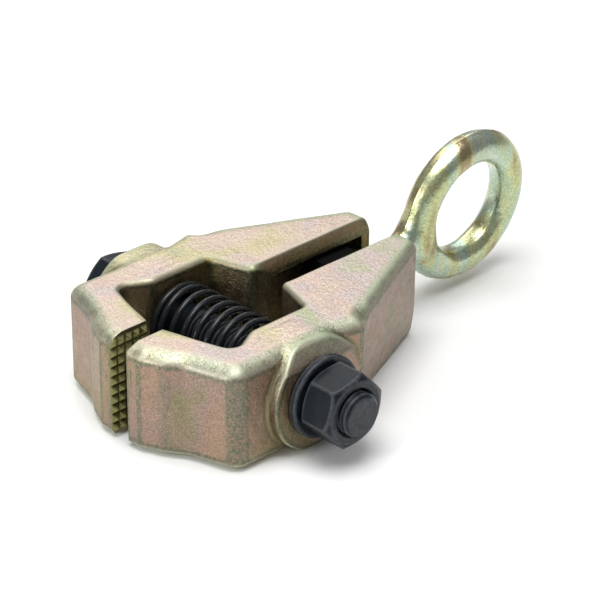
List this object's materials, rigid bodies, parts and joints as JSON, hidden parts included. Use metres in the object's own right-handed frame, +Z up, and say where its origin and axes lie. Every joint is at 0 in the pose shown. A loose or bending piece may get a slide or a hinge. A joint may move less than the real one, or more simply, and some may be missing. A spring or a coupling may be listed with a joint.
{
  "type": "self-tightening pull clamp",
  "caption": "Self-tightening pull clamp: two toothed forged jaws on one bolt with a return spring, and a swivelling pull eye whose wedge spreads the tails.",
  "frame": {"origin": "middle of the mouth: jaw tips, centre plane between the jaws, mid-height", "axes": "+X from the jaw tips to the pull eye, +Y from the nut side to the bolt-head side, +Z up"},
  "size_m": [0.1966, 0.13, 0.0619],
  "materials": {
    "jaw_plating": "forged steel, yellow iridescent zinc plating",
    "eye_plating": "forged steel, yellow iridescent zinc plating, smoother",
    "black_oxide": "black oxide",
    "spring_steel": "black spring steel, satin"
  },
  "bodies": {
    "bolt": {"clamp_bolt": "black_oxide", "washer_rear": "black_oxide", "return_spring": "spring_steel"},
    "rear_jaw": {"jaw_rear": "jaw_plating"},
    "front_washer": {"washer_front": "black_oxide"},
    "front_jaw": {"jaw_front": "jaw_plating"},
    "nut": {"clamp_nut": "black_oxide"},
    "wedge": {"pull_wedge": "black_oxide"},
    "ball": {"swivel_ball": "black_oxide"},
    "eye": {"pull_eye": "eye_plating"}
  },
  "joints": [
    {"name": "jaw_adjust", "type": "slide", "parent": "bolt", "child": "front_washer", "axis": [0, -1, 0], "range_m": [0, 0.0035], "deforming": ["return_spring"]},
    {"name": "nut_spin", "type": "hinge", "parent": "front_washer", "child": "nut", "pos_m": [0.0485, -0.0582, 0], "axis": [0, -1, 0], "range_deg": [-2, 635]},
    {"name": "front_rock", "type": "hinge", "parent": "front_washer", "child": "front_jaw", "pos_m": [0.0635, -0.0482, 0], "axis": [0, 0, -1], "range_deg": [-0.01, 2]},
    {"name": "rear_rock", "type": "hinge", "parent": "bolt", "child": "rear_jaw", "pos_m": [0.0635, 0.0482, 0], "axis": [0, 0, 1], "range_deg": [-0.01, 2]},
    {"name": "eye_pull", "type": "slide", "parent": "bolt", "child": "wedge", "axis": [1, 0, 0], "range_m": [0, 0.0065]},
    {"name": "eye_pitch", "type": "hinge", "parent": "wedge", "child": "ball", "pos_m": [0.103, 0, 0], "axis": [0, -1, 0], "range_deg": [-28, 5.8]},
    {"name": "eye_swivel", "type": "hinge", "parent": "ball", "child": "eye", "pos_m": [0.103, 0, 0], "axis": [0.981, 0, 0.1942], "continuous": true}
  ],
  "couplings": [
    {"joint": "nut_spin", "follows": "jaw_adjust", "rad_per_m": 3141.6},
    {"joint": "front_rock", "follows": "eye_pull", "rad_per_m": 5.102},
    {"joint": "rear_rock", "follows": "eye_pull", "rad_per_m": 5.102}
  ]
}
